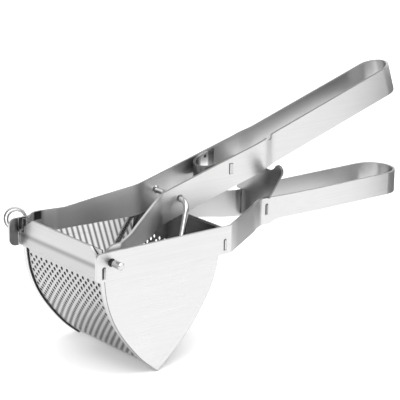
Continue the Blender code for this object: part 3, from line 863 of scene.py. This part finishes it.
def repeat(piece, count, step):
    """An Array modifier, applied, that merges each copy with the last."""
    only(piece)
    array = piece.modifiers.new("Repeat", "ARRAY")
    array.count = count
    array.use_relative_offset = False
    array.use_constant_offset = True
    array.constant_offset_displace = step
    array.use_merge_vertices = True
    array.merge_threshold = FLAT_MERGE
    bpy.ops.object.modifier_apply(modifier="Repeat")


def shift(piece, x, y):
    """Moves a flat mesh and leaves its object at the origin."""
    piece.data.transform(Matrix.Translation((x, y, 0)))


def merge_points(piece, threshold):
    """Merges points of the whole mesh that are this near each other."""
    only(piece)
    bpy.ops.object.mode_set(mode="EDIT")
    bpy.ops.mesh.select_all(action="SELECT")
    bpy.ops.mesh.remove_doubles(threshold=threshold)
    bpy.ops.object.mode_set(mode="OBJECT")


# %% Rows of holes
def punched_field(rows):
    """Rows of holes in millimetres. The first row is at y = 0 and the others lie below it."""
    even = hole_tile()
    odd = hole_tile()
    repeat(even, HOLES_IN_ROW, (PITCH, 0, 0))
    repeat(odd, HOLES_IN_ROW - 1, (PITCH, 0, 0))
    shift(even, -(HOLES_IN_ROW - 1) * PITCH / 2, 0)
    shift(odd, -(HOLES_IN_ROW - 2) * PITCH / 2, -ROW)
    blanks = []
    for sign in (-1, 1):
        bpy.ops.object.select_all(action="DESELECT")
        bpy.ops.mesh.primitive_plane_add(size=1)
        blank = bpy.context.active_object
        blank.data.transform(Matrix.Diagonal((PITCH / 2, ROW, 1, 1)))
        shift(blank, sign * (FIELD_EDGE - PITCH / 4), -ROW)
        blanks.append(blank)
    only(even, odd, *blanks)
    bpy.ops.object.join()
    merge_points(even, FLAT_MERGE)
    repeat(even, rows // 2, (0, -2 * ROW, 0))
    return even


# %% [markdown]
# ## The perforated sheets: the plain border
#
# A real sheet keeps a plain border round its holes, where it is clamped and welded. The border edges
# of the field are extruded outwards in short steps, so that the border can bend with the curve too.
# Filling one large face would be quicker, but a flat face can't follow the roll.

# %% Plain border
SHEET_HALF = 45.6
EAR_ROOM_HALF = 43.3
BORDER_PACE = 2.5
NUDGE = 0.01


def extrude_border(sheet, chosen, step, total, pace):
    """Extrudes the border edges whose ends are all chosen by a total length, in steps of about pace."""
    only(sheet)
    count = max(1, round(total / pace))
    bpy.ops.object.mode_set(mode="EDIT")
    bpy.ops.mesh.select_mode(type="EDGE")
    bpy.ops.mesh.select_all(action="DESELECT")
    bm = bmesh.from_edit_mesh(sheet.data)
    for edge in bm.edges:
        if edge.is_boundary and all(chosen(vert.co) for vert in edge.verts):
            edge.select_set(True)
    bmesh.update_edit_mesh(sheet.data)
    for _ in range(count):
        bpy.ops.mesh.extrude_region_move(TRANSFORM_OT_translate={"value": step * total / count})
    bpy.ops.mesh.select_mode(type="VERT")
    bpy.ops.object.mode_set(mode="OBJECT")


# %% All sides
def add_border(sheet, floor_line, top, bottom):
    """Adds plain sheet at the sides, up to the floor line, on to the top, and down to the bottom."""
    low = min(vert.co.y for vert in sheet.data.vertices)
    high = ROW / 2
    left = Vector((-1, 0, 0))
    upward = Vector((0, 1, 0))
    side_steps = ((FIELD_EDGE, EAR_ROOM_HALF - FIELD_EDGE), (EAR_ROOM_HALF, SHEET_HALF - EAR_ROOM_HALF))
    for reach, step in side_steps:
        extrude_border(sheet, lambda co: co.x < NUDGE - reach, left, step, step)
        extrude_border(sheet, lambda co: co.x > reach - NUDGE, -left, step, step)
    extrude_border(sheet, lambda co: co.y > high - NUDGE, upward, floor_line - high, BORDER_PACE)
    extrude_border(sheet, lambda co: co.y > floor_line - NUDGE, upward, top - floor_line, BORDER_PACE)
    extrude_border(sheet, lambda co: co.y < low + NUDGE, -upward, low - bottom, BORDER_PACE)


# %% Ear room
def cut_ear_room(sheet, floor_line):
    """Cuts both upper corners away, where the lever's ears go past the sheet."""
    only(sheet)
    bpy.ops.object.mode_set(mode="EDIT")
    bpy.ops.mesh.select_mode(type="FACE")
    bpy.ops.mesh.select_all(action="DESELECT")
    bm = bmesh.from_edit_mesh(sheet.data)
    for face in bm.faces:
        middle = face.calc_center_median()
        face.select_set(abs(middle.x) > EAR_ROOM_HALF and middle.y > floor_line)
    bmesh.update_edit_mesh(sheet.data)
    bpy.ops.mesh.delete(type="FACE")
    bpy.ops.mesh.select_mode(type="VERT")
    bpy.ops.object.mode_set(mode="OBJECT")


# %% [markdown]
# ## The perforated sheets: rolling
#
# The flat sheet goes through rollers until it follows the hopper's side. A Curve modifier can bend a
# mesh, but it needs a guide object and its own choice of axes. Looking up each point's distance along
# the curve is short and exact. A Solidify modifier then gives the thickness, inwards, so that the
# outer face stays on the curve. The inner face and the walls of the holes get a darker finish, because
# little light reaches them.

# %% Rolling helpers
SPAN_STEPS = 12
SHEET = 0.8
HOLE_EDGE_ANGLE = math.radians(30)

sheet_steel = brushed_steel("perforated_sheet_steel", CROSSWISE, tone=0.43, rough=0.28)
sheet_inner_steel = brushed_steel(
    "perforated_sheet_inner_steel", CROSSWISE, tone=0.11, rough=0.25, bump=0.02)


def smooth_curve(points):
    """A Catmull-Rom curve through the points."""
    points = [np.array(point, float) for point in points]
    ends = [2 * points[0] - points[1]] + points + [2 * points[-1] - points[-2]]
    curve = []
    for i in range(1, len(ends) - 2):
        p, q, r, s = ends[i - 1:i + 3]
        for j in range(SPAN_STEPS):
            t = j / SPAN_STEPS
            curve.append(0.5 * (2 * q + (r - p) * t + (2 * p - 5 * q + 4 * r - s) * t ** 2
                                + (3 * q - p - 3 * r + s) * t ** 3))
    return np.array(curve + [points[-1]])


# %% Roll
def roll(sheet, curve, along, first):
    """Rolls a flat sheet onto a curve of (x, z) points. Its y = 0 comes at the distance first."""
    coordinates = np.empty(len(sheet.data.vertices) * 3)
    sheet.data.vertices.foreach_get("co", coordinates)
    flat = coordinates.reshape(-1, 3)
    distance = first - flat[:, 1]
    x = np.interp(distance, along, curve[:, 0])
    z = np.interp(distance, along, curve[:, 1])
    points = np.stack([x, flat[:, 0], z], axis=1)
    sheet.data.vertices.foreach_set("co", metres(points).ravel())
    sheet.data.update()


# %% Outer side and wall
def face_outward(sheet, outward):
    """Makes all normals agree, and look along +x or -x as outward says."""
    merge_points(sheet, MERGE)
    bpy.ops.object.mode_set(mode="EDIT")
    bpy.ops.mesh.select_all(action="SELECT")
    bpy.ops.mesh.normals_make_consistent(inside=False)
    bpy.ops.object.mode_set(mode="OBJECT")
    if sum(polygon.normal.x * polygon.area for polygon in sheet.data.polygons) * outward < 0:
        sheet.data.flip_normals()


def thicken(sheet):
    """Gives the sheet its wall, with the darker finish inside and in the holes."""
    sheet.data.materials.append(sheet_steel)
    sheet.data.materials.append(sheet_inner_steel)
    wall = sheet.modifiers.new("Wall", "SOLIDIFY")
    wall.thickness = SHEET / MM_PER_M
    wall.offset = -1
    wall.material_offset = 1
    wall.material_offset_rim = 1
    bpy.ops.object.modifier_apply(modifier="Wall")
    bpy.ops.object.shade_smooth_by_angle(angle=HOLE_EDGE_ANGLE)


# %% [markdown]
# ## The two sheets
#
# Both sheets run from the hopper's mouth down to a shared ridge. The front one is steeper and has its
# upper corners cut away for the lever's ears. Each is described by points down its side: heights are
# turned into distances along the curve, which say how many rows of holes fit.

# %% Sheets
EAR_ROOM_FLOOR = -13.5
RIDGE_MARGIN = 2.5
RIDGE_INSET = 0.5
RIDGE = (49.8, -88.0)
FRONT_CURVE = [(8.2, 2.0), (8.0, -8.0), (8.5, -18.0), (10.7, -34.0), (15.7, -48.0), (22.3, -59.2),
               (31.0, -70.4), (39.6, -79.6), RIDGE]
REAR_CURVE = [(100.5, 2.0), (99.8, -11.0), (98.4, -22.0), (95.9, -31.0), (91.8, -41.0),
              (84.8, -52.0), (76.2, -63.4), (66.0, -74.0), (57.4, -81.8), RIDGE]


def perforated_sheet(name, node, points, top, first_row, outward, ear_room):
    """A punched sheet from the height top to the ridge, with its first holes at the height first_row."""
    curve = smooth_curve(points)
    steps = np.linalg.norm(np.diff(curve, axis=0), axis=1)
    along = np.concatenate([[0], np.cumsum(steps)])
    start, first, ear_floor = (float(np.interp(-height, -curve[:, 1], along))
                               for height in (top, first_row, EAR_ROOM_FLOOR))
    length = along[-1] - RIDGE_INSET
    rows = int((length - RIDGE_MARGIN - first) // ROW)
    sheet = punched_field(rows)
    print(name, rows // 2 * 2, "rows,", len(sheet.data.polygons), "faces flat")
    floor_line = first - ear_floor
    add_border(sheet, floor_line, first - start, first - length)
    if ear_room:
        cut_ear_room(sheet, floor_line)
    roll(sheet, curve, along, first)
    face_outward(sheet, outward)
    thicken(sheet)
    sheet.name = name
    fit(sheet, node)


perforated_sheet("hopper_front_perforated", "hopper_front_sheet", FRONT_CURVE,
                 top=0.6, first_row=-24.2, outward=-1, ear_room=True)
perforated_sheet("hopper_rear_perforated", "hopper_rear_sheet", REAR_CURVE,
                 top=-0.6, first_row=-23.2, outward=1, ear_room=False)
